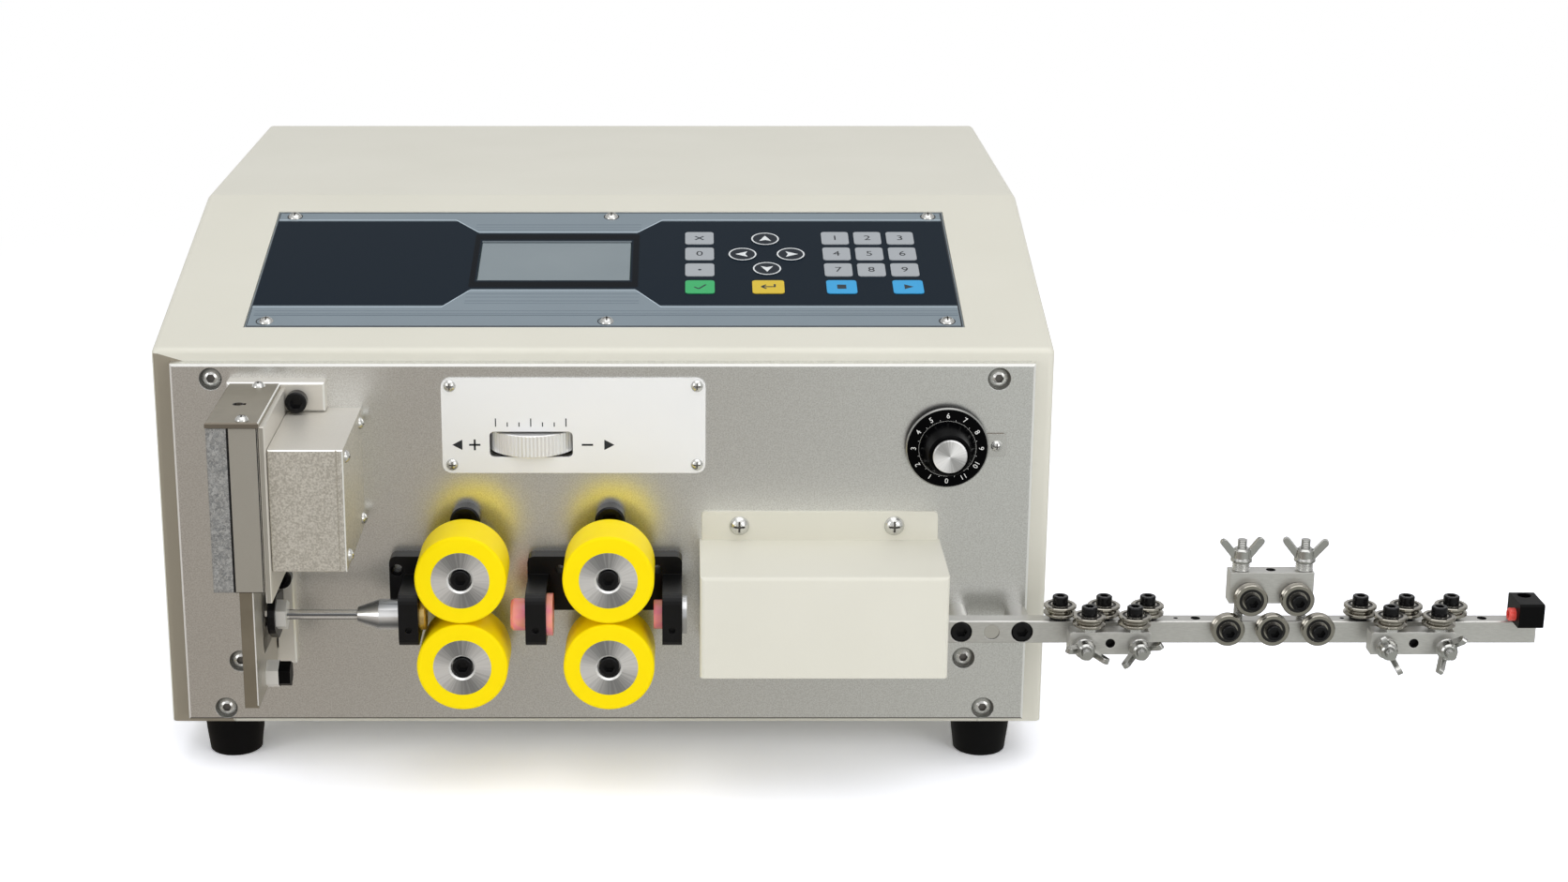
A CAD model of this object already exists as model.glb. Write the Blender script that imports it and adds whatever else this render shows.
import math

import bmesh
import bpy
from mathutils import Matrix, Vector


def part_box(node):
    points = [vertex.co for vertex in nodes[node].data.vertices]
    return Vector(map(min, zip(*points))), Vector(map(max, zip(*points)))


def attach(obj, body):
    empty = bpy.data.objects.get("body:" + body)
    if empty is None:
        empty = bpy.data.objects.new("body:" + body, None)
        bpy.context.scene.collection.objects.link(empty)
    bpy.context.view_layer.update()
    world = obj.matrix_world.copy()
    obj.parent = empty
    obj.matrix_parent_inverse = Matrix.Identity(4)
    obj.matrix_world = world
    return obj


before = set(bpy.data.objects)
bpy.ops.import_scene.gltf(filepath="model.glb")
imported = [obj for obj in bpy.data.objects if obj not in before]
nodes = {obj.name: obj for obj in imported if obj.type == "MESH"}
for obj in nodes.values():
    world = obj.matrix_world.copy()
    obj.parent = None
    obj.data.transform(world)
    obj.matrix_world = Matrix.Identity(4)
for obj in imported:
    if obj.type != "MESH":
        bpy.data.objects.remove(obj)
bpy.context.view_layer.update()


# Studio: white floor running out of view, a pale dome and three soft boxes.
# The camera stands in front, above the machine and a little left of its middle, as the photographer did.
def linear(code):
    """The linear colour of an sRGB hex code."""
    channels = [int(code[i:i + 2], 16) / 255 for i in (1, 3, 5)]
    return tuple(c / 12.92 if c <= 0.04045 else ((c + 0.055) / 1.055) ** 2.4 for c in channels) + (1.0,)


def add(tree, kind, inputs=(), **settings):
    """A new node, with its inputs set to values or linked from other nodes' outputs, and its settings."""
    node = tree.nodes.new(kind)
    for key, value in settings.items():
        setattr(node, key, value)
    for key, value in dict(inputs).items():
        if isinstance(value, bpy.types.NodeSocket):
            tree.links.new(value, node.inputs[key])
        else:
            node.inputs[key].default_value = value
    return node


def empty_material(name):
    """A material without nodes, and its node tree."""
    material = bpy.data.materials.new(name)
    material.use_nodes = True
    material.node_tree.nodes.clear()
    return material, material.node_tree


# The floor takes the machine's shadow as matt paper and is plain white farther out.
# Metal sees it in a warm grey that turns paler to the right.
floor_reach = 9.0
shadow_reach = 0.55
fade = 0.65
floor_mesh = bpy.data.meshes.new("studio_floor")
floor_corners = ((-1, -1), (1, -1), (1, 1), (-1, 1))
floor_mesh.from_pydata([(x * floor_reach, y * floor_reach, 0) for x, y in floor_corners], [], [(0, 1, 2, 3)])
floor = bpy.data.objects.new("studio_floor", floor_mesh)
bpy.context.scene.collection.objects.link(floor)
paper, tree = empty_material("white_paper")
place = add(tree, "ShaderNodeTexCoord")
far = add(tree, "ShaderNodeVectorMath", {0: place.outputs["Object"]}, operation="LENGTH")
away = add(tree, "ShaderNodeMapRange", {"Value": far.outputs["Value"], "From Min": shadow_reach,
                                        "From Max": shadow_reach + fade}, interpolation_type="SMOOTHSTEP")
ray = add(tree, "ShaderNodeLightPath")
seen = add(tree, "ShaderNodeMath", {0: ray.outputs["Is Camera Ray"], 1: ray.outputs["Is Transmission Ray"]},
           operation="MAXIMUM")
seen_far = add(tree, "ShaderNodeMath", {0: away.outputs[0], 1: seen.outputs[0]}, operation="MULTIPLY")
matt = add(tree, "ShaderNodeBsdfDiffuse", {"Color": linear("#fbfbfb")})
lift = add(tree, "ShaderNodeBsdfDiffuse", {"Color": linear("#bfc2d0")})
glow = add(tree, "ShaderNodeEmission", {"Color": (1, 1, 1, 1), "Strength": 0.06})
direct = add(tree, "ShaderNodeAddShader", {0: lift.outputs[0], 1: glow.outputs[0]})
bright = add(tree, "ShaderNodeAddShader", {0: matt.outputs[0], 1: direct.outputs[0]})
near = add(tree, "ShaderNodeMixShader", {0: ray.outputs["Is Camera Ray"], 1: matt.outputs[0],
                                         2: bright.outputs[0]})
white = add(tree, "ShaderNodeEmission", {"Color": (1, 1, 1, 1), "Strength": 1.0})
both = add(tree, "ShaderNodeMixShader", {0: seen_far.outputs[0], 1: near.outputs[0], 2: white.outputs[0]})
along = add(tree, "ShaderNodeSeparateXYZ", {0: place.outputs["Object"]})
side = add(tree, "ShaderNodeMapRange", {"Value": along.outputs["X"], "From Min": -0.3, "From Max": 0.24})
tint = add(tree, "ShaderNodeMixRGB", {"Fac": side.outputs[0], "Color1": linear("#9f978d"),
                                      "Color2": linear("#bdbfba")})
mirrored = add(tree, "ShaderNodeEmission", {"Color": tint.outputs[0], "Strength": 1.0})
paper_look = add(tree, "ShaderNodeMixShader", {0: ray.outputs["Is Glossy Ray"], 1: both.outputs[0],
                                               2: mirrored.outputs[0]})
add(tree, "ShaderNodeOutputMaterial", {"Surface": paper_look.outputs[0]})
floor_mesh.materials.append(paper)

# The dome is plain white to the camera, and to matt surfaces a grey that is paler overhead. Metal sees it
# pale in front and overhead, dark behind, and bright low behind, as a sweep of paper looks.
world = bpy.data.worlds.new("dome")
bpy.context.scene.world = world
world.use_nodes = True
tree = world.node_tree
tree.nodes.clear()
place = add(tree, "ShaderNodeTexCoord")
towards = add(tree, "ShaderNodeSeparateXYZ", {0: place.outputs["Generated"]})
up_front = add(tree, "ShaderNodeMath", {0: towards.outputs["Y"], 1: -0.4, 2: towards.outputs["Z"]},
               operation="MULTIPLY_ADD")
level = add(tree, "ShaderNodeMapRange", {"Value": up_front.outputs[0], "From Min": -0.4, "From Max": 1.1,
                                         "To Min": 0.3, "To Max": 0.72})
overhead = add(tree, "ShaderNodeMath", {0: towards.outputs["Y"], 1: -0.8, 2: towards.outputs["Z"]},
               operation="MULTIPLY_ADD")
backdrop = add(tree, "ShaderNodeMapRange", {"Value": overhead.outputs[0], "From Min": -0.8, "From Max": 1.3,
                                            "To Min": 0.1, "To Max": 0.8})
low_sky = add(tree, "ShaderNodeMapRange", {"Value": towards.outputs["Z"], "From Min": 0.3, "From Max": 0.6,
                                           "To Min": 0.95, "To Max": 0.0})
behind = add(tree, "ShaderNodeMath", {0: low_sky.outputs[0], 1: towards.outputs["Y"]}, operation="MULTIPLY")
sweep = add(tree, "ShaderNodeMath", {0: backdrop.outputs[0], 1: behind.outputs[0]}, operation="MAXIMUM")
mirrored = add(tree, "ShaderNodeMixRGB", {"Fac": add(tree, "ShaderNodeLightPath").outputs["Is Glossy Ray"],
                                          "Color1": level.outputs[0], "Color2": sweep.outputs[0]})
strength = add(tree, "ShaderNodeMixRGB", {"Fac": add(tree, "ShaderNodeLightPath").outputs["Is Camera Ray"],
                                          "Color1": mirrored.outputs[0], "Color2": (1, 1, 1, 1)})
dome = add(tree, "ShaderNodeBackground", {"Color": strength.outputs[0], "Strength": 1.0})
add(tree, "ShaderNodeOutputWorld", {"Surface": dome.outputs[0]})

# A broad box overhead and one on each side in front, all turned towards the machine.
aim = Vector((0, -0.1, 0.1))
for name, place, size, watts in (("top_box", (0.1, -0.5, 1.7), (1.8, 1.4), 9.4),
                                 ("right_box", (1.25, -1.6, 0.72), (1.0, 1.2), 8.8),
                                 ("left_box", (-1.6, -1.2, 0.7), (0.7, 1.2), 5.8)):
    lamp = bpy.data.lights.new(name, "AREA")
    lamp.shape = "RECTANGLE"
    lamp.size, lamp.size_y = size
    lamp.energy = watts
    box = bpy.data.objects.new(name, lamp)
    box.location = place
    box.rotation_euler = (aim - Vector(place)).to_track_quat("-Z", "Y").to_euler()
    bpy.context.scene.collection.objects.link(box)

# The camera's place, tilt and lens come from the lines of the photograph that run together.
lens = bpy.data.cameras.new("camera")
lens.lens = 60.67
lens.sensor_width = 36
lens.shift_x = 0.063
camera = bpy.data.objects.new("camera", lens)
camera.location = (-0.0706, -1.2733, 0.4909)
camera.rotation_euler = (math.radians(73.44), 0, 0)
bpy.context.scene.collection.objects.link(camera)
bpy.context.scene.camera = camera
bpy.context.scene.view_settings.view_transform = "Standard"


# Cabinet: cover, front skirt and floor folded from 1.5 mm steel sheet and powder coated in warm white.
# The coat has the fine orange peel of sprayed powder and rounds every cut edge a little. The cover's left
# front lip lies in shade in the photograph, and a darker coat stands for that.
mm = 0.001


def finish(name, colour, roughness, metallic=0.0, edge=0.0, bump=(), **more):
    """A surface with its colour and gloss, edges softened to the radius edge, and layers of fine relief."""
    material, tree = empty_material(name)
    inputs = {"Base Color": linear(colour) if isinstance(colour, str) else colour(tree),
              "Roughness": roughness(tree) if callable(roughness) else roughness, "Metallic": metallic}
    inputs.update({key.replace("_", " "): value for key, value in more.items()})
    normal = None
    if edge:
        normal = add(tree, "ShaderNodeBevel", {"Radius": edge}, samples=6).outputs[0]
    for height, depth in bump:
        relief = {"Height": height(tree), "Distance": depth, "Strength": 1.0}
        if normal:
            relief["Normal"] = normal
        normal = add(tree, "ShaderNodeBump", relief).outputs[0]
    if normal:
        inputs["Normal"] = normal
    shader = add(tree, "ShaderNodeBsdfPrincipled", inputs)
    add(tree, "ShaderNodeOutputMaterial", {"Surface": shader.outputs[0]})
    return material


def speckle(size, squeeze=(1, 1, 1)):
    """Noise whose grains are about size metres across, divided along each axis by its value of squeeze."""
    def build(tree):
        place = add(tree, "ShaderNodeTexCoord")
        drawn = add(tree, "ShaderNodeMapping", {"Vector": place.outputs["Object"], "Scale": squeeze})
        return add(tree, "ShaderNodeTexNoise", {"Vector": drawn.outputs[0], "Scale": 1 / size,
                                                "Detail": 2.0}).outputs[0]
    return build


def grit(size, depth, squeeze=(1, 1, 1)):
    """One layer of fine relief, whose grains have this size and depth in millimetres."""
    return [(speckle(size * mm, squeeze), depth * mm)]


def grain(size, squeeze=(1, 1, 1)):
    """The same noise with its middle tones spread to the full range, which gives a stronger mottle."""
    def build(tree):
        return add(tree, "ShaderNodeMapRange", {"Value": speckle(size, squeeze)(tree), "From Min": 0.36,
                                                "From Max": 0.64}).outputs[0]
    return build


def between(pattern, low, high):
    """A value, or a colour from two hex codes, that follows a pattern from low to high."""
    def build(tree):
        if isinstance(low, str):
            mix = {"Fac": pattern(tree), "Color1": linear(low), "Color2": linear(high)}
            return add(tree, "ShaderNodeMixRGB", mix).outputs[0]
        spread = {"Value": pattern(tree), "To Min": low, "To Max": high}
        return add(tree, "ShaderNodeMapRange", spread).outputs[0]
    return build


def paint(node, material, where=None):
    """Gives a CAD node a material, or only the faces whose middle and normal pass where.

    Machine millimetres start at the bench under the middle of the cover's front: X right, Y back, Z up.
    """
    mesh = nodes[node].data
    if where is None:
        mesh.materials.clear()
        mesh.materials.append(material)
        return
    mesh.materials.append(material)
    index = len(mesh.materials) - 1
    for face in mesh.polygons:
        if where((face.center - home) / mm, face.normal):
            face.material_index = index


low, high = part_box("cover_shell")
home = Vector(((low.x + high.x) / 2, low.y, 0))
peel = grit(1.3, 0.035) + grit(0.35, 0.006)
coat = finish("warm_white_powder_coat", between(speckle(60 * mm), "#dbd9cc", "#e2e0d4"), 0.42, edge=0.5 * mm,
              bump=peel)
for node in ("cover_shell", "chassis_tray"):
    paint(node, coat)
shaded_coat = finish("shaded_powder_coat", between(speckle(60 * mm), "#8f8675", "#979080"), 0.42,
                     edge=0.5 * mm, bump=peel)
lip_right, lip_back, lip_top = -180, 2, 194
paint("cover_shell", shaded_coat, lambda c, n: c.x < lip_right and c.y < lip_back and c.z < lip_top
      and n.y < -0.7)


# Rubber feet: four tapered feet moulded in black rubber, screwed under the floor.
# Matt, with the faint bloom and fine grain that moulded rubber has.
rubber = finish("moulded_black_rubber", between(speckle(9 * mm), "#070708", "#0e0e0f"), 0.55,
                bump=grit(0.5, 0.02), Specular_IOR_Level=0.12)
paint("rubber_feet", rubber)


# Front plate: 6 mm aluminium plate, bead blasted to an even satin that mirrors the yellow tyres softly.
# Its bevels are machined and shine, but for the one below, which faces the bench. The counterbores of its
# screws are dull. The blast's grain is drawn coarser than in life, so that it shows.
blasted = finish("blasted_aluminium_plate", between(grain(0.6 * mm), "#e0e0de", "#f6f7f6"),
                 between(speckle(70 * mm), 0.28, 0.31), 1.0, edge=0.25 * mm, bump=grit(0.5, 0.008))
bright_cut = finish("machined_aluminium_edge", "#f4f4f1", 0.3, 0.5)
bevel = finish("machined_aluminium_bevel", "#cfcfcb", 0.34, 0.6)
counterbore = finish("counterbored_aluminium", "#6e6c67", 0.4, 0.5, bump=grit(0.4, 0.004))
paint("front_plate", blasted)
plate_y = -6.0
bevel_depth = 1.2
bore_depth = 3.6


def on_bevel(c, n):
    """Whether a face lies on the 45 degree bevel round the plate."""
    return abs(c.y - plate_y) < bevel_depth and abs(n.y + 0.707) < 0.1


paint("front_plate", bevel, on_bevel)
paint("front_plate", bright_cut, lambda c, n: on_bevel(c, n) and abs(n.x) > 0.1)
paint("front_plate", counterbore, lambda c, n: abs(c.y - plate_y - bore_depth) < 0.05)
paint("front_plate", counterbore, lambda c, n: abs(c.y - plate_y) < bevel_depth and n.z < -0.5)


# Keypad: a printed polyester film on its backing plate, let into the slope and held by six screws.
# The print is grey-blue with a slate field; the keys are embossed 0.35 mm and printed in their colours.
rise, run, fold = 38.0, 158.0, 197.0
slope = math.atan2(rise, run)
film_face = -0.3
key_h = 0.35
key_top = film_face + key_h
ink = 0.02


def at(x, y, z):
    """The scene's point for a place in machine millimetres."""
    return home + Vector((x, y, z)) * mm


def up_slope(x, s, h):
    """The machine millimetres of a place x across the slope, s up it from its fold and h above it."""
    return x, s * math.cos(slope) - h * math.sin(slope), fold + s * math.sin(slope) + h * math.cos(slope)


def on_slope(x, s, h):
    """The scene's point for the same place."""
    return at(*up_slope(x, s, h))


def on_front(x, z, h):
    """A point on the front plate, h millimetres proud of it."""
    return at(x, plate_y - h, z)


def new_piece(name, bm, material, body):
    """A piece of the scene from a mesh, riding on a body of the part."""
    bmesh.ops.recalc_face_normals(bm, faces=bm.faces)
    mesh = bpy.data.meshes.new(name)
    bm.to_mesh(mesh)
    bm.free()
    mesh.materials.append(material)
    piece = bpy.data.objects.new(name, mesh)
    bpy.context.scene.collection.objects.link(piece)
    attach(piece, body)


def slab(bm, outline, low, high, place):
    """A thin closed layer of an outline, from height low to high on the surface that place describes."""
    bottom = [bm.verts.new(place(u, v, low)) for u, v in outline]
    top = [bm.verts.new(place(u, v, high)) for u, v in outline]
    bm.faces.new(bottom[::-1])
    bm.faces.new(top)
    for i in range(len(outline)):
        j = (i + 1) % len(outline)
        bm.faces.new((bottom[i], bottom[j], top[j], top[i]))


def ring(bm, centre, outer, inner, low, high, place, steps=40):
    """A thin closed flat ring round a centre on a surface."""
    rows = []
    turns = [2 * math.pi * i / steps for i in range(steps)]
    for radius, level in ((inner, low), (outer, low), (outer, high), (inner, high)):
        rows.append([bm.verts.new(place(
            centre[0] + radius * math.cos(a), centre[1] + radius * math.sin(a), level)) for a in turns])
    for k in range(4):
        for i in range(steps):
            j = (i + 1) % steps
            bm.faces.new((rows[k][i], rows[k][j], rows[(k + 1) % 4][j], rows[(k + 1) % 4][i]))


def rounded(x0, x1, s0, s1, r):
    """A rectangle whose corners are quarter circles of radius r, in four steps."""
    corners = ((x1 - r, s0 + r, -90), (x1 - r, s1 - r, 0), (x0 + r, s1 - r, 90), (x0 + r, s0 + r, 180))
    return [(x + r * math.cos(math.radians(a + 22.5 * i)), y + r * math.sin(math.radians(a + 22.5 * i)))
            for x, y, a in corners for i in range(5)]


def line(start, end, width):
    """A straight stroke between two points."""
    (x0, y0), (x1, y1) = start, end
    length = math.hypot(x1 - x0, y1 - y0)
    across = (-(y1 - y0) / length * width / 2, (x1 - x0) / length * width / 2)
    return [(x0 - across[0], y0 - across[1]), (x1 - across[0], y1 - across[1]),
            (x1 + across[0], y1 + across[1]), (x0 + across[0], y0 + across[1])]


def screen_ink(colour, roughness, specular=0.5):
    """Screen printing ink: an opaque film with the faint grain of the screen."""
    name = "ink_" + colour[1:]
    return bpy.data.materials.get(name) or finish(
        name, colour, roughness, bump=grit(0.4, 0.003), Specular_IOR_Level=specular)


def printed(name, outlines, colour, place, low, body="root", thick=ink, specular=0.5):
    """Layers of ink in one colour, each from its outline, on a surface at height low."""
    bm = bmesh.new()
    for outline in outlines:
        slab(bm, outline, low, low + thick, place)
    new_piece(name, bm, screen_ink(colour, 0.32, specular), body)


def figures(name, marks, colour, low, body="root"):
    """Plain figures printed on a surface. A mark is its text, its height and the frame that it is set in."""
    font_size_per_height = 1.4
    bm = bmesh.new()
    for text, height, matrix in marks:
        curve = bpy.data.curves.new("figure", "FONT")
        curve.body = text
        curve.size = height * font_size_per_height * mm
        curve.align_x = "CENTER"
        curve.align_y = "CENTER"
        curve.extrude = ink / 2 * mm
        curve.resolution_u = 3
        shape = bpy.data.objects.new("figure", curve)
        mesh = bpy.data.meshes.new_from_object(shape)
        mesh.transform(matrix @ Matrix.Translation((0, 0, (low + ink / 2) * mm)))
        bm.from_mesh(mesh)
        bpy.data.objects.remove(shape)
        bpy.data.meshes.remove(mesh)
        bpy.data.curves.remove(curve)
    bmesh.ops.remove_doubles(bm, verts=bm.verts, dist=1e-6)
    new_piece(name, bm, screen_ink(colour, 0.35), body)


def slope_frame(x, s):
    """The frame of a figure that is printed at x, s on the slope."""
    return Matrix.Translation(on_slope(x, s, 0)) @ Matrix.Rotation(slope, 4, "X")


# The film's texture and the grain of its inks are drawn coarser than in life, so that they show.
film = finish("grey_blue_polyester_film", between(speckle(40 * mm), "#7d8a93", "#85929b"), 0.32,
              bump=grit(0.8, 0.006))
paint("membrane_panel", film)

# The slate field is as wide as the panel on both sides and narrow round the display's window.
left, right = -160.8, 160.5
foot, head = 43.0, 132.4
waist_l, waist_r = -62.5, 13.2
band_low, band_high = 59.6, 119.0
slant = 11.5
window_l, window_r = -60.5, 10.8
window_low, window_high = 68.5, 110.5
slate = [[(left, foot), (waist_l - slant, foot), (waist_l, band_low), (window_l, band_low),
          (window_l, band_high), (waist_l, band_high), (waist_l - slant, head), (left, head)],
         [(window_r, band_low), (waist_r, band_low), (waist_r + slant, foot), (right, foot), (right, head),
          (waist_r + slant, head), (waist_r, band_high), (window_r, band_high)],
         [(window_l, band_low), (window_r, band_low), (window_r, window_low), (window_l, window_low)],
         [(window_l, window_high), (window_r, window_high), (window_r, band_high), (window_l, band_high)]]
printed("panel_slate_field", slate, "#14202b", on_slope, film_face, specular=0.08)
border_l, border_r = window_l - 3.4, window_r + 3.8
border_low, border_high = window_low - 1.5, window_high + 1.5
margin = 0.9
bar = 5.6
border = [rounded(border_l, border_r, border_high, border_high + bar, 0.8),
          rounded(border_l, border_r, border_low - bar, border_low, 0.8),
          rounded(border_l, window_l - margin, border_low, border_high, 0.5),
          rounded(window_r + margin, border_r, border_low, border_high, 0.5)]
printed("display_border", border, "#0c1117", on_slope, film_face + ink, specular=0.08)

# A pale line follows the field's upper and lower edge, a little outside it.
edge_lines = []
for outer, inner, gap in ((head, band_high, 1.6), (foot, band_low, -1.6)):
    waists = [(waist_l - slant - 0.8, outer), (waist_l - 0.8, inner),
              (waist_r + 0.8, inner), (waist_r + slant + 0.8, outer)]
    course = [(x, s + gap) for x, s in [(left, outer), *waists, (right, outer)]]
    edge_lines += [line(start, end, 0.5) for start, end in zip(course, course[1:])]
printed("panel_pale_lines", edge_lines, "#bccbd6", on_slope, film_face)

# Fine stripes run under the field and above and below its waist. Each has its place and its width.
stripes = [line((-159, s), (160, s), width) for s, width in ((33.4, 0.7), (35.2, 0.3), (37.6, 0.3))]
stripes += [line((waist_l - 2, s), (waist_r + 2, s), width) for s, width in (
    (45.2, 0.3), (47.6, 0.45), (51.4, 0.3), (54.6, 0.3), (122.6, 0.3), (125.4, 0.3), (128.4, 0.45))]
printed("panel_dark_stripes", stripes, "#5f6d78", on_slope, film_face)

# The film's cut edge shows as a dark line all round.
rim = [line((-160.6, s), (160.6, s), width) for s, width in ((22.5, 1.0), (141.6, 0.5))]
rim += [line((x, 22), (x, 141.8), width) for x, width in ((-160.9, 0.4), (160.8, 0.7))]
printed("panel_edge_line", rim, "#1c2126", on_slope, film_face)

# Keys: rows go up the slope from the lowest. The first column works the menu and holds 0, and the last
# three hold 1 to 9 in their upper rows.
row = [61.3, 79.0, 96.0, 113.0]
columns = [108.0, 123.5, 139.1]
menu_x, enter_x, stop_x, run_x = 43.2, 74.8, 108.7, 139.4


def key(x, s, half_width, half_height=6.6):
    """The left, right, lower and upper edge of a key on the slope."""
    return x - half_width, x + half_width, s - half_height, s + half_height


key_faces = {"grey": ([key(menu_x, s, 6.8) for s in row[1:]]
                      + [key(x, s, 6.5, 6.7) for x in columns for s in row[1:]], "#a9aeb3"),
             "green": ([key(menu_x, row[0], 6.8)], "#38b06a"),
             "yellow": ([key(enter_x, row[0], 7.4)], "#dcbe34"),
             "blue": ([key(x, row[0], 7.0, 6.7) for x in (stop_x, run_x)], "#36a4de")}


def above_film(c):
    """Whether a face's middle lies on the embossed part of a key, above the film."""
    return (c.z - fold) * math.cos(slope) - c.y * math.sin(slope) > film_face + 0.05


for tint, (keys, colour) in key_faces.items():
    capped = finish(tint + "_key_film", colour, 0.28, bump=grit(0.6, 0.006))
    paint("membrane_panel", capped, lambda c, n, keys=keys: above_film(c) and any(
        x0 - 0.1 < c.x < x1 + 0.1 and s0 - 0.1 < math.hypot(c.y, c.z - fold) < s1 + 0.1
        for x0, x1, s0, s1 in keys))

# Four round keys stand in a cross. Each has its place and the way that its arrow points, in degrees.
arrows = [(74.6, 112.2, 90), (63.5, 95.6, 180), (86.3, 95.6, 0), (74.7, 80.3, -90)]
arrow_head = [(3.4, 0), (-2.4, 2.9), (-1.3, 0), (-2.4, -2.9)]
key_r = 7
dark_key = finish("slate_key_film", "#1a222c", 0.28, bump=grit(0.6, 0.006), Specular_IOR_Level=0.25)
paint("membrane_panel", dark_key, lambda c, n: above_film(c) and any(
    math.hypot(c.x - x, math.hypot(c.y, c.z - fold) - s) < key_r for x, s, turn in arrows))
bm = bmesh.new()
for x, s, turn in arrows:
    ring(bm, (x, s), key_r - 0.4, key_r - 1.1, key_top, key_top + ink, on_slope)
    a = math.radians(turn)
    turned_head = [(x + u * math.cos(a) - v * math.sin(a), s + u * math.sin(a) + v * math.cos(a))
                   for u, v in arrow_head]
    slab(bm, turned_head, key_top, key_top + ink, on_slope)
pale_ink = finish("pale_key_ink", "#e4e8ea", 0.35, bump=grit(0.4, 0.003))
new_piece("arrow_key_marks", bm, pale_ink, "root")
digit_h = 5.0
digits = [(str(3 * (3 - i) + k + 1), digit_h, slope_frame(columns[k], row[i]))
          for i in (1, 2, 3) for k in range(3)]
digits += [("0", digit_h, slope_frame(menu_x, row[2]))]
figures("key_figures", digits, "#1d2228", key_top)


def stroke(x, s, start, end, width=0.9):
    """A stroke of the sign whose middle is at x, s, between points that are given from that middle."""
    return line((x + start[0], s + start[1]), (x + end[0], s + end[1]), width)


cross = [stroke(menu_x, row[3], (-2, -2), (2, 2), 0.8), stroke(menu_x, row[3], (-2, 2), (2, -2), 0.8)]
dot = [rounded(menu_x - 0.8, menu_x + 0.8, row[1] - 0.8, row[1] + 0.8, 0.7)]
tick = [stroke(menu_x, row[0], (-2.6, -0.2), (-0.6, -2.1)), stroke(menu_x, row[0], (-0.6, -2.1), (2.8, 2.2))]
enter = [stroke(enter_x, row[0], (-3.2, 0), end) for end in ((3.4, 0), (-1, 2), (-1, -2))]
enter += [stroke(enter_x, row[0], (3, 0), (3, 2.6))]
square = [rounded(stop_x - 2.1, stop_x + 2.1, row[0] - 2.1, row[0] + 2.1, 0.3)]
triangle = [[(run_x - 1.7, row[0] - 2.4), (run_x + 2.5, row[0]), (run_x - 1.7, row[0] + 2.4)]]
signs = cross + dot + tick + enter + square + triangle
printed("key_signs", signs, "#26323a", on_slope, key_top)


# Display: a liquid crystal cell under clear film, grey until it is lit, with its board hung behind.
# The cell is smooth and glossy, and shaded under its upper edge; the board is epoxy glass in green lacquer.
cell = finish("liquid_crystal_cell", between(speckle(45 * mm), "#7f8b91", "#8d989d"), 0.12, Coat_Weight=0.3,
              Coat_Roughness=0.04)
board = finish("green_circuit_board", "#1d5a3c", 0.4, bump=grit(1.2, 0.05))
shade = [rounded(window_l, window_r, window_high - 1.6, window_high, 0.3)]
printed("display_top_shade", shade, "#646f76", on_slope, film_face + ink / 2)
paint("lcd_module", board)
paint("lcd_module", cell, lambda c, n: n.z > 0.9 and window_l < c.x < window_r)


# Gap plate: thin steel plate enamelled white round the thumbwheel's slot, with a printed scale. Enamel is
# glassy and a little wavy. Its four pan-head screws sit in the corners.
enamel = finish("white_enamel", between(speckle(30 * mm), "#e9eaea", "#eeeeed"), 0.22, edge=0.25 * mm,
                bump=grit(2.5, 0.01))
paint("gap_plate", enamel)
white_plate_t = 1.0
wheel_x, wheel_z = -32.0, 155.0
tick_pitch, tick_foot = 5.2, wheel_z + 8.4
scale_ticks = [line((wheel_x + tick_pitch * i, tick_foot),
                    (wheel_x + tick_pitch * i, tick_foot + (3.8 if i % 3 == 0 else 2.0)), 0.5)
               for i in range(-3, 4)]
plus_x, minus_x = wheel_x - 25, wheel_x + 25
signs = [stroke(plus_x, wheel_z, (-2.5, 0), (2.5, 0)), stroke(plus_x, wheel_z, (0, -2.5), (0, 2.5)),
         stroke(minus_x, wheel_z, (-2.5, 0), (2.5, 0))]
signs += [[(x, wheel_z - 2.4), (x + point, wheel_z), (x, wheel_z + 2.4)]
          for x, point in ((wheel_x + 32.5, 4.5), (wheel_x - 30.5, -4.5))]
printed("gap_scale", scale_ticks + signs, "#23262b", on_front, white_plate_t)


# Wire path: holders milled from bar and anodised black, a chromed outfeed tube with its taper and nut,
# a brass nozzle, two cast pink bushes and a turned aluminium flange. Polish draws light and dark lines
# along the chrome. The bushes let light in and are mottled in pink and orange.
anodised = finish("black_anodised_aluminium", between(speckle(6 * mm), "#0c0c0d", "#131315"), 0.34, 0.2,
                  edge=0.3 * mm, bump=grit(0.35, 0.01), Specular_IOR_Level=0.3)
paint("guide_holders", anodised)


def polish_streaks(swing, phase):
    """The light and dark lines that a polished bar shows along its length, by how far a face looks up."""
    def build(tree):
        facing = add(tree, "ShaderNodeNewGeometry")
        upward = add(tree, "ShaderNodeSeparateXYZ", {0: facing.outputs["Normal"]})
        turn = add(tree, "ShaderNodeMath", {0: upward.outputs["Z"], 1: swing, 2: phase},
                   operation="MULTIPLY_ADD")
        wave = add(tree, "ShaderNodeMath", {0: turn.outputs[0]}, operation="SINE")
        return add(tree, "ShaderNodeMapRange", {"Value": wave.outputs[0], "From Min": -1.0}).outputs[0]
    return build


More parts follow.
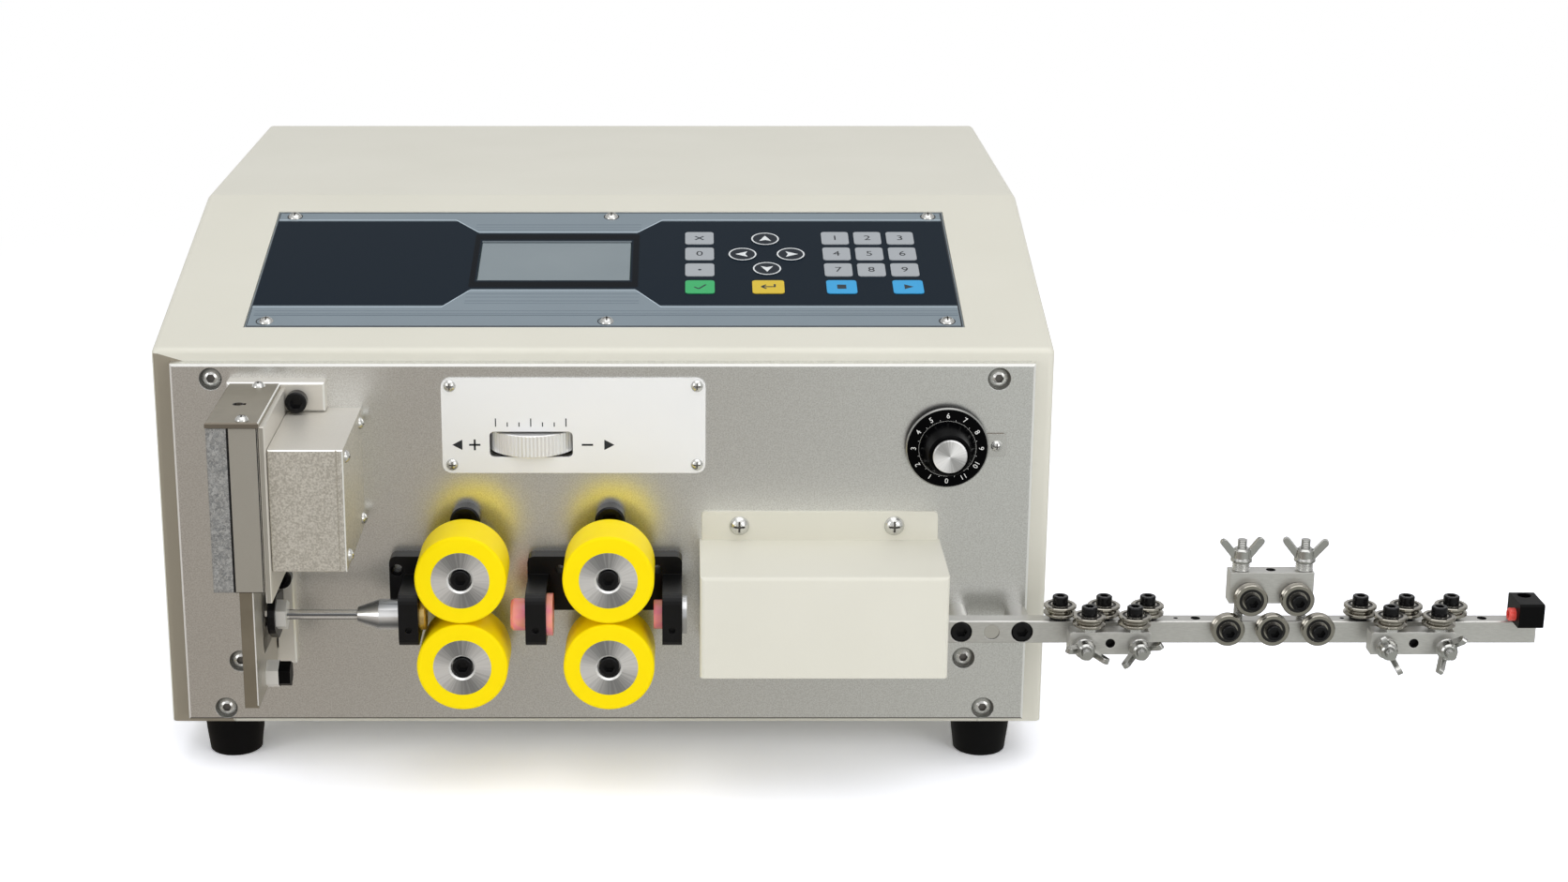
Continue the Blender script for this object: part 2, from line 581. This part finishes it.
# The fine lines along the tube, and the grain of the anodising, are drawn coarser than in life.
drawn = between(speckle(4 * mm, (1, 8, 8)), 0.12, 0.2)
chrome = finish("hard_chrome", between(polish_streaks(5.0, 0.3), "#77797b", "#ffffff"), drawn, 0.7)
tube_chrome = finish("drawn_chrome_tube", between(polish_streaks(5.8, -2.95), "#4c4e50", "#ffffff"), drawn,
                     0.8)
brass = finish("turned_brass", "#e2c27a", 0.25, 0.8, edge=0.2 * mm)
pink = finish("cast_pink_polyurethane", between(grain(7 * mm), "#ee879f", "#ef9f8b"), 0.22,
              Subsurface_Weight=0.5, Subsurface_Radius=(2 * mm, 1 * mm, 0.8 * mm), Subsurface_Scale=1.0,
              edge=0.3 * mm)
turned = finish("turned_aluminium", "#cccdce", 0.28, 1.0, edge=0.2 * mm)
wire_y, wire_z = -33.0, 84.6
tube_r = 2.4
nut_left, nut_right, cone_left = -143.9, -139.2, -108.5
nozzle_left, nozzle_right = -85.1, -70
bush_left, bush_right, flange_left = -42, 33.1, 33.15
paint("wire_guides", chrome)
paint("wire_guides", tube_chrome, lambda c, n: c.x < cone_left)
paint("wire_guides", bright_cut, lambda c, n: nut_left < c.x < nut_right
      and math.hypot(c.y - wire_y, c.z - wire_z) > tube_r)
paint("wire_guides", brass, lambda c, n: nozzle_left <= c.x < nozzle_right)
paint("wire_guides", pink, lambda c, n: bush_left < c.x < bush_right)
paint("wire_guides", turned, lambda c, n: flange_left < c.x)


# Cutter head: a flange of ground steel, a galvanised side wall with its spangle, a scraped top plate with
# a sawn front edge, a ground front strip, and a bead-blasted aluminium housing with a screwed lid.
# Ground steel is satin with fine lines; the bevels are cut bright, and recesses are dark with old oil.
def spangle(size):
    """Zinc crystals about size metres across, each with its own shade."""
    def build(tree):
        place = add(tree, "ShaderNodeTexCoord")
        wander = add(tree, "ShaderNodeTexNoise", {"Vector": place.outputs["Object"], "Scale": 0.6 / size,
                                                  "Detail": 1.0})
        bent = add(tree, "ShaderNodeMixRGB", {"Fac": 0.004, "Color1": place.outputs["Object"],
                                              "Color2": wander.outputs["Color"]}, blend_type="ADD")
        cells = add(tree, "ShaderNodeTexVoronoi", {"Vector": bent.outputs[0], "Scale": 1 / size},
                    feature="F1")
        return add(tree, "ShaderNodeSeparateColor", {0: cells.outputs["Color"]}).outputs[0]
    return build


ground = finish("ground_steel", between(speckle(0.7 * mm, (1, 1, 12)), "#d6d2c9", "#e2ded5"),
                between(speckle(12 * mm), 0.3, 0.42), 0.35, edge=0.3 * mm, bump=grit(0.4, 0.01, (1, 1, 14)))
zinc_sheet = finish("galvanised_steel", between(spangle(0.8 * mm), "#929598", "#d0d2d2"),
                    between(spangle(0.9 * mm), 0.3, 0.5), 0.8, edge=0.3 * mm, bump=grit(0.8, 0.02))
dark_steel = finish("scraped_steel", between(speckle(10 * mm), "#8b8475", "#9f9787"), 0.34, 0.8,
                    edge=0.6 * mm, bump=grit(0.5, 0.01))
# The housing's blasted grain is drawn coarser than in life, so that it shows.
shot = finish("bead_blasted_aluminium", between(grain(0.8 * mm), "#b9b4a9", "#dcd8ce"), 0.4, 0.6,
              edge=0.3 * mm, bump=grit(0.9, 0.12) + grit(0.3, 0.02))
ground_strip = finish("surface_ground_strip", between(speckle(0.6 * mm, (1, 1, 10)), "#b2afa6", "#c0bdb4"),
                      between(speckle(12 * mm), 0.3, 0.4), 0.7, edge=0.3 * mm,
                      bump=grit(0.4, 0.01, (1, 1, 14)))
dull_edge = finish("sawn_steel_edge", "#766e62", 0.4, 0.6, bump=grit(0.5, 0.01))
shadow = finish("oily_dark_recess", "#1c1b1b", 0.5, 0.2, bump=grit(0.4, 0.004))


def bevelled(n):
    """Whether a face is one of the narrow 45 degree bevels along an edge."""
    return 0.6 < max(abs(n.x), abs(n.y), abs(n.z)) < 0.72


flange_y, wall_x, strip_y = -14.01, -154.2, -60
deck_z, head_top = 183.01, 185.3
channel_left, channel_right = -155, -141.6
keyhole_x, keyhole_y = -154.0, -47.7
paint("cutter_frame", ground)
paint("cutter_frame", zinc_sheet, lambda c, n: c.x < wall_x and c.z < deck_z and c.y < flange_y)
paint("cutter_frame", dark_steel, lambda c, n: c.z > deck_z and c.y < flange_y)
paint("cutter_frame", ground_strip, lambda c, n: c.x > wall_x and c.y < strip_y and c.z < deck_z
      and n.y < -0.9)
paint("cutter_frame", dull_edge, lambda c, n: c.z > deck_z and n.y < -0.6 and c.y < flange_y)
paint("cutter_frame", bright_cut, lambda c, n: bevelled(n)
      and (c.y > flange_y - 1 or c.z > deck_z + 1 and n.x > 0.5))
paint("cutter_frame", shadow, lambda c, n: bevelled(n) and c.y < strip_y and c.z < deck_z
      and channel_left < c.x < channel_right)
paint("cutter_frame", shadow, lambda c, n: -2 < c.x - keyhole_x < 3.5 and -1.8 < c.y - keyhole_y < 1.3
      and deck_z < c.z < head_top - 0.1)
lid_x, box_top = -108, 172
paint("cutter_box", shot)
paint("cutter_box", ground, lambda c, n: n.z > 0.9 and c.z > box_top - 1)
paint("cutter_box", bright_cut, lambda c, n: bevelled(n) and (c.x > lid_x or n.z > 0.6))

# The keyhole in the top plate is dark inside, with a dark ring round it.
hole_r = 1.6
turns = [a / 10 * math.pi for a in range(20)]
round_hole = [(keyhole_x + hole_r * math.cos(a), keyhole_y + hole_r * math.sin(a)) for a in turns]
bm = bmesh.new()
slab(bm, round_hole, deck_z + 0.01, deck_z + 0.19, at)
ring(bm, (keyhole_x, keyhole_y), hole_r + 0.8, hole_r + 0.1, head_top, head_top + ink, at)
new_piece("top_hole_shade", bm, shadow, "root")


# Blades and their slides: hardened tool steel, ground to a satin on the flats, with a bright turned nut
# and a moulded black nylon cap on the lower slide. They run in the channel between the cutter head's
# walls. A bright line stands for the light on the chamfer at the front of the lower slide.
tool_steel = finish("ground_tool_steel", between(speckle(0.8 * mm, (1, 10, 1)), "#bdb9b0", "#cbc7be"),
                    between(speckle(10 * mm), 0.29, 0.36), 0.85, edge=0.6 * mm,
                    bump=grit(0.4, 0.01, (1, 12, 1)))
black_cap = finish("black_nylon", between(speckle(5 * mm), "#050506", "#09090a"), 0.4, edge=0.3 * mm,
                   bump=grit(0.5, 0.01), Specular_IOR_Level=0.08)
for node in ("upper_blade_slide", "lower_blade_slide"):
    paint(node, tool_steel)
slide_front = -70
nut_face, cap_face = -147.49, -142.01


def round_the_nut(c):
    """Whether a place is as far forward and as high as the lower slide's nut and cap."""
    return -50.5 < c.y < -37.5 and 54 < c.z < 68


paint("lower_blade_slide", dark_steel, lambda c, n: c.y < slide_front and n.y < -0.9)
paint("lower_blade_slide", bright_cut, lambda c, n: c.x > nut_face and round_the_nut(c))
paint("lower_blade_slide", black_cap, lambda c, n: c.x > cap_face and round_the_nut(c))
chamfer_x, chamfer_proud = -147.75, 64.5
chamfer_low, chamfer_high = 56.5, 110.5
chamfer = line((chamfer_x, chamfer_low), (chamfer_x, chamfer_high), 0.5)
bm = bmesh.new()
slab(bm, chamfer, chamfer_proud, chamfer_proud + ink, on_front)
new_piece("slide_edge_line", bm, bright_cut, "lower_blade_slide")


# Screws: zinc-plated pan heads and studs, and black-oxide socket heads.
# Plating leaves zinc bright with a soft bloom, and the pressed recess for the driver dull. Rolled threads
# glitter. Black oxide is deep with an oily sheen. Panel screws have a dark line where they sit.
zinc = finish("bright_zinc_plate", between(speckle(2 * mm), "#cfcfcc", "#dcdcd9"), 0.24, 0.8, edge=0.15 * mm,
              bump=grit(0.6, 0.006))
oxide = finish("black_oxide_steel", between(speckle(2 * mm), "#0e0e10", "#19191b"), 0.22, 0.5, edge=0.4 * mm,
               bump=grit(0.4, 0.006), Specular_IOR_Level=0.4)
paint("bright_screws", zinc)

# Each head has its foot, the way that it faces, its width and its height. They are the screws of the plate,
# panel, gap plate, infeed cover, housing lid, top plate and index plate.
sloped = Vector((0, -math.sin(slope), math.cos(slope)))
front, right_side, upwards = Vector((0, -1, 0)), Vector((1, 0, 0)), Vector((0, 0, 1))
panel_screws = [(x, s) for x in (-153.5, 0.5, 154.5) for s in (137.6, 27.5)]
dial_x, dial_z = 152.4, 154.5
heads = [(Vector((x, plate_y + bore_depth, z)), front, 9, 3.4) for x, z in (
    (-173, 185), (175, 185), (-173.5, 29), (172.5, 29), (-166, 52), (163, 53.5))]
heads += [(Vector(up_slope(x, s, film_face)), sloped, 6.6, 2) for x, s in panel_screws]
heads += [(Vector((x, plate_y - white_plate_t, z)), front, 5.4, 1.5)
          for x in (-67.4, 41.6) for z in (182, 145.8)]
heads += [(Vector((x, plate_y - 1.5, 117.3)), front, 9, 2.8) for x in (60.6, 130)]
heads += [(Vector((-107, y, z)), right_side, 5.6, 2.2) for y in (-14, -64) for z in (167, 123)]
heads += [(Vector((x, y, head_top)), upwards, 6, 2.2) for x, y in ((-148.5, -72), (-149.7, -19))]
heads += [(Vector((dial_x + 22.2, plate_y - 1.2, dial_z)), front, 5, 1.8)]


def in_recess(c, n):
    """Whether a face lies in the driver recess of a screw head."""
    for foot_point, axis, width, height in heads:
        along_axis = (c - foot_point).dot(axis)
        out = (c - foot_point - axis * along_axis).length
        if out < 0.3 * width and 0 < along_axis < height and (n.dot(axis) < 0.5 or along_axis < height / 2):
            return True
    return False


recess = finish("pressed_driver_recess", "#716e6a", 0.4, 0.5, bump=grit(0.4, 0.004))
paint("bright_screws", recess, in_recess)
bm = bmesh.new()
for centre in panel_screws:
    ring(bm, centre, 3.75, 3.25, film_face, film_face + ink, on_slope)
new_piece("screw_seat_lines", bm, shadow, "root")


# A wave texture of scale 1 repeats after this length.
repeat = 0.314


def thread(axis, pitch=0.7 * mm):
    """Rolled thread: ridges a pitch apart along the Y or Z axis."""
    def build(tree):
        place = add(tree, "ShaderNodeTexCoord")
        return add(tree, "ShaderNodeTexWave", {"Vector": place.outputs["Object"], "Scale": repeat / pitch},
                   bands_direction=axis).outputs[1]
    return build


studs_left, lying_studs_top = 200, 84
for axis, reach in (("Y", lambda c, n: c.x > studs_left and c.z < lying_studs_top),
                    ("Z", lambda c, n: c.x > studs_left and c.z >= lying_studs_top)):
    rolled = finish("rolled_thread_" + axis.lower(), "#bdbdba", 0.26, 1.0, bump=[(thread(axis), 0.25 * mm)])
    paint("bright_screws", rolled, reach)
paint("socket_screws", oxide)


# Infeed cover: folded sheet over the wire's way in, powder coated like the cabinet.
# It hangs from two pan-head screws on its flange.
paint("infeed_cover", coat)


# Feed rollers: cast polyurethane tyres, bright yellow and faintly translucent, bonded to aluminium hubs.
# The hubs are faced on the lathe, so fine rings and a fan of light turn round the screw.
def centred(tree, across):
    """The place on a round node of the given width, in metres from its axis, which runs along Y."""
    place = add(tree, "ShaderNodeTexCoord")
    shifted = add(tree, "ShaderNodeVectorMath", {0: place.outputs["Generated"], 1: (0.5, 0.5, 0.5)},
                  operation="SUBTRACT")
    scaled = add(tree, "ShaderNodeVectorMath", {0: shifted.outputs[0], "Scale": across}, operation="SCALE")
    turned = {"Vector": scaled.outputs[0], "Rotation": (math.pi / 2, 0, 0)}
    return add(tree, "ShaderNodeMapping", turned).outputs[0]


def lathe_rings(pitch, across):
    """Grooves round the middle of a node that is across metres wide, a pitch apart."""
    def build(tree):
        return add(tree, "ShaderNodeTexWave", {"Vector": centred(tree, across), "Scale": repeat / pitch,
                                               "Distortion": 0.4, "Detail": 1.0},
                   wave_type="RINGS", rings_direction="Z").outputs[1]
    return build


def turned_fan(across, turns):
    """The fan of light on a faced disc: broad lobes, set by where the light comes from, and fine streaks."""
    def build(tree):
        angle = add(tree, "ShaderNodeTexGradient", {"Vector": centred(tree, across)}, gradient_type="RADIAL")
        swing = add(tree, "ShaderNodeMath", {0: angle.outputs[1], 1: 4 * math.pi, 2: turns},
                    operation="MULTIPLY_ADD")
        lobes = add(tree, "ShaderNodeMath", {0: swing.outputs[0]}, operation="COSINE")
        streaks = add(tree, "ShaderNodeTexNoise", {"W": add(tree, "ShaderNodeMath", {
            0: angle.outputs[1], 1: 60.0}, operation="MULTIPLY").outputs[0], "Scale": 1.0, "Detail": 2.0},
            noise_dimensions="1D")
        both = add(tree, "ShaderNodeMath", {0: lobes.outputs[0], 1: 0.9, 2: streaks.outputs[0]},
                   operation="MULTIPLY_ADD")
        return add(tree, "ShaderNodeMapRange", {"Value": both.outputs[0], "From Min": -0.4,
                                                "From Max": 1.4}).outputs[0]
    return build


roller_d = 40.1 * mm
hub_r = 12.75
mouth_r = 5.9
tyre = finish("yellow_polyurethane", between(speckle(25 * mm), "#ffe000", "#ffe600"), 0.42, edge=0.5 * mm,
              bump=grit(1.5, 0.01), Specular_IOR_Level=0.1, Subsurface_Weight=0.1,
              Subsurface_Radius=(3 * mm, 2 * mm, 0.4 * mm), Subsurface_Scale=1.0)
# Real rings are about 0.1 mm apart. Here and on the dial's cap they are drawn 0.4 mm apart, to show.
hub = finish("faced_aluminium", between(turned_fan(roller_d, 0.6), "#98999a", "#fcfcfc"), 0.3, 0.8,
             edge=0.3 * mm, bump=[(lathe_rings(0.4 * mm, roller_d), 0.004 * mm)])
for node in [n for n in nodes if n.startswith("feed_roller")]:
    paint(node, tyre)
    low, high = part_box(node)
    axis = ((low + high) / 2 - home) / mm
    paint(node, hub, lambda c, n, axis=axis: math.hypot(c.x - axis.x, c.z - axis.z) < hub_r + 0.005)
    paint(node, bright_cut, lambda c, n, axis=axis: math.hypot(c.x - axis.x, c.z - axis.z) < mouth_r + 0.01
          and -0.9 < n.y < -0.5)


# Roller shafts: steel shafts ground smooth and grey, with hobbed gears behind the plate, and a black
# socket screw in the nose of each that clamps its roller.
shaft = finish("ground_shaft_steel", between(speckle(0.8 * mm), "#9a9c9f", "#a8aaad"), 0.28, 1.0,
               edge=0.2 * mm)
screw_back = -41
for node in [n for n in nodes if n.startswith("roller_shaft")]:
    paint(node, shaft)
    paint(node, oxide, lambda c, n: c.y < screw_back)


# Drive behind the plate: frame and carriage milled from steel, which leaves fine lines, hobbed brass
# pinions, and black painted motors with laminated bodies. The thumbwheel is knurled and nickel plated,
# so that its ridges flash nearly white.
milled = finish("milled_steel", between(speckle(1.0 * mm, (8, 1, 1)), "#9a9b9c", "#a9aaab"), 0.36, 1.0,
                edge=0.3 * mm, bump=grit(0.5, 0.01, (10, 1, 1)))
gear_brass = finish("hobbed_brass", between(speckle(3 * mm), "#b8975a", "#c7a566"), 0.3, 1.0, edge=0.15 * mm)
motor = finish("painted_motor", between(speckle(8 * mm), "#1f2022", "#2a2b2e"), 0.45, edge=0.4 * mm,
               bump=grit(0.6, 0.03, (1, 14, 1)))
for node, material, slot in (("gearbox_frame", milled, "frame_steel"),
                             ("lift_carriage", milled, "frame_steel"),
                             ("feed_pinion", gear_brass, "gear_brass"),
                             ("cutter_pinion", gear_brass, "gear_brass"),
                             ("stepper_motors", motor, "motor_body")):
    paint(node, material)
knurled = finish("knurled_nickel", "#ffffff", 0.24, 0.55, edge=0.1 * mm, bump=grit(1.0, 0.004))
paint("thumbwheel", knurled)


# Gap dial: a tapered knob moulded in glossy black phenolic with a printed skirt, on its potentiometer.
# Its aluminium cap is spun and shows a fan of light, the skirt's rim is dull, and a small zinc-plated
# index plate with sheared sides stands beside it.
phenolic = finish("black_phenolic", between(speckle(8 * mm), "#020203", "#050506"), 0.22, edge=0.25 * mm,
                  bump=grit(0.7, 0.004), Specular_IOR_Level=0.05)
skirt_d = 36.8 * mm
cap = finish("spun_aluminium", between(turned_fan(skirt_d, 1.4), "#a6a6a5", "#ffffff"), 0.3, 0.55,
             edge=0.2 * mm, bump=[(lathe_rings(0.4 * mm, skirt_d), 0.004 * mm)])
paint("dial_knob", phenolic)
cap_y, cap_r = -22.85, 7.6
rim_back, rim_front, rim_r = -9.9, -10.5, 17.9
paint("dial_knob", cap, lambda c, n: c.y < cap_y and math.hypot(c.x - dial_x, c.z - dial_z) < cap_r)
skirt_rim = finish("spun_skirt_rim", "#9c9c99", 0.34, 0.7, edge=0.1 * mm, bump=grit(0.6, 0.004))
paint("dial_knob", skirt_rim, lambda c, n: rim_front < c.y < rim_back
      and math.hypot(c.x - dial_x, c.z - dial_z) > rim_r)

# Twelve figures stand round the skirt's cone, 0 at the foot, with a short tick between each two.
upright = Matrix.Translation(on_front(dial_x, dial_z, 0)) @ Matrix.Rotation(math.radians(90), 4, "X")
cone = math.atan2(0.6, 5.1)
skirt_top = 5.2
figure_r, figure_h = 14.9, 2.4
tick_inner, tick_outer = 13.0, 13.5
dial_figures = []
dial_ticks = []
for k in range(12):
    turn = upright @ Matrix.Rotation(-math.radians(180 + 30 * k), 4, "Z")
    seat = Matrix.Translation((0, figure_r * mm, (skirt_top - 0.26) * mm))
    dial_figures.append((str(k), figure_h, turn @ seat @ Matrix.Rotation(-cone, 4, "X")))
    a = math.radians(30 * k + 15)
    dial_ticks.append(line((dial_x + tick_inner * math.sin(a), dial_z + tick_inner * math.cos(a)),
                           (dial_x + tick_outer * math.sin(a), dial_z + tick_outer * math.cos(a)), 0.18))
figures("dial_figures", dial_figures, "#f2f2ef", 0, body="dial_knob")
printed("dial_ticks", dial_ticks, "#f2f2ef", on_front, skirt_top - 0.16, body="dial_knob",
        thick=0.14)
knob_r = 12.55
bm = bmesh.new()
ring(bm, (dial_x, dial_z), knob_r + 0.2, knob_r, skirt_top - 0.2, skirt_top + 0.05, on_front, 72)
new_piece("dial_base_line", bm, bright_cut, "dial_knob")
paint("dial_base", zinc)
index_left, index_t = dial_x + 15, 1.1
paint("dial_base", dull_edge, lambda c, n: c.x > index_left and c.y > plate_y - index_t and n.y > -0.9)
paint("dial_base", recess, in_recess)


# Straightener arm: a bar of square aluminium, brushed in lines that are drawn coarse enough to show, on
# two standoffs. Three sprung blocks of the same stock press their bearings on the wire under wing nuts,
# cast in zinc and plated, with soft uneven faces. Springs and spacers are plated, and the screws black.
brushed = finish("brushed_aluminium", between(grain(0.4 * mm, (0.15, 1, 1)), "#cac9c5", "#d3d2ce"),
                 between(speckle(14 * mm, (0.3, 1, 1)), 0.28, 0.38), 0.8, edge=0.5 * mm,
                 bump=grit(0.3, 0.012, (0.04, 1, 1)))
nickel = finish("bright_nickel", "#dcdad5", 0.2, 1.0, edge=0.12 * mm, bump=grit(1.0, 0.004))
paint("arm_bar", brushed)
bar_y, bar_middle = -30.0, 75.05
standoff_x, plug_r = 172.5, 3.4
paint("arm_bar", nickel, lambda c, n: bar_y + 0.3 < c.y < bar_y + 0.9
      and math.hypot(c.x - standoff_x, c.z - bar_middle) < plug_r)
paint("arm_bar", shadow, lambda c, n: bar_y < c.y < bar_y + 0.59
      and abs(math.hypot(c.x - standoff_x, c.z - bar_middle) - plug_r - 0.1) < 0.06)

# Holes down through the bar are dark inside. Each has its place along the bar and its radius.
hole_y = bar_y + 4
bar_low, bar_high = 70, 80.1
for x, radius in ((254.6, 1), (328.6, 1), (263.4, 2.1), (390.8, 2.1)):
    paint("arm_bar", shadow, lambda c, n, x=x, radius=radius: bar_low < c.z < bar_high
          and math.hypot(c.x - x, c.y - hole_y) < radius + 0.05)

# The middle block lies over the wire and lifts; the outer two lie in front of it and slide forwards.
# Past a block's own stock come its springs and spacers, and then its screws. The hole in it looks dark.
half_bearing = 2.3
blind_hole_r = 2.12
lifting_top, lifting_hole_z = wire_z + 18.42, 97.5
sliding_top, sliding_front, sliding_hole_y = wire_z - 4.38, -44.05, -39.9
for letter, x in (("a", 223.0), ("b", 295.5), ("c", 356.25)):
    node = "straightener_block_" + letter
    paint(node, brushed)
    if letter == "b":
        paint(node, shadow, lambda c, n, x=x: c.z > lifting_hole_z
              and math.hypot(c.x - x, c.y - hole_y) < blind_hole_r)
        paint(node, zinc, lambda c, n: c.y < bar_y - 0.05 or c.z > lifting_top)
        paint(node, oxide, lambda c, n: c.y < wire_y - half_bearing + 0.01)
    else:
        paint(node, shadow, lambda c, n, x=x: c.y < sliding_hole_y
              and math.hypot(c.x - x, c.z - bar_middle) < blind_hole_r)
        paint(node, zinc, lambda c, n: c.z > sliding_top or c.y < sliding_front)
        paint(node, oxide, lambda c, n: c.z > wire_z + half_bearing - 0.01)
cast_zinc = finish("zinc_plated_casting", between(speckle(2.5 * mm), "#b3b3b0", "#c5c5c2"), 0.2, 1.0,
                   edge=0.4 * mm, bump=grit(1.2, 0.03))
for node in [n for n in nodes if n.startswith("wing_nut")]:
    paint(node, cast_zinc)


# Guide bearings: grooved outer ring and inner ring of polished bearing steel, which mirrors sharply,
# with a matt black rubber seal set back between them on both faces.
bearing_steel = finish("polished_bearing_steel", between(speckle(3 * mm), "#9a968d", "#aaa69d"), 0.14, 1.0,
                       edge=0.12 * mm)
seal = finish("black_nitrile_seal", between(speckle(2 * mm), "#0d0c0b", "#141210"), 0.4, bump=grit(0.4, 0.01))
seal_depth = half_bearing - 0.35
inner_ring_r = 4
for node in [n for n in nodes if n.startswith("bearing")]:
    paint(node, bearing_steel)
    low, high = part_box(node)
    middle = ((low + high) / 2 - home) / mm
    spin = 1 if "_b" in node else 2
    paint(node, seal, lambda c, n, middle=middle, spin=spin:
          abs(abs((c - middle)[spin]) - seal_depth) < 0.05 and (c - middle).length > inner_ring_r)


# End guide: a black plastic block with a red cast eyelet, screwed on the bar's end, where wire from
# the reel enters. The eyelet is polyurethane, glossy and a little translucent.
red = finish("cast_red_polyurethane", between(speckle(3 * mm), "#e8473f", "#f25d52"), 0.3,
             Subsurface_Weight=0.2, Subsurface_Radius=(2 * mm, 0.5 * mm, 0.4 * mm), Subsurface_Scale=1.0,
             edge=0.3 * mm)
eyelet_r, block_left = 2.395, 402.99
paint("end_guide", black_cap)
paint("end_guide", red, lambda c, n: math.hypot(c.y - wire_y, c.z - wire_z) < eyelet_r or c.x < block_left)


# Rear: moulded mains inlet and rocker switch in the rear wall; the power supply and boards inside.
# The rocker has the plain marks of a mains switch.
paint("power_unit", black_cap)
paint("rocker_switch", phenolic)
rear_facing = Matrix.Rotation(math.radians(180), 4, "Z") @ Matrix.Rotation(math.radians(90), 4, "X")
rocker_x, sign_h, half_rocker = 140, 3.6, 6.2
switch_signs = []
for sign, y, z, tip in (("I", 360.64, 89.2, 0.4), ("O", 361.34, 82.9, -1.8)):
    tilt = Matrix.Rotation(math.atan2(tip, half_rocker), 4, "X")
    switch_signs.append((sign, sign_h, Matrix.Translation(at(rocker_x, y, z)) @ rear_facing @ tilt))
figures("switch_signs", switch_signs, "#f2f2ef", 0, body="rocker_switch")
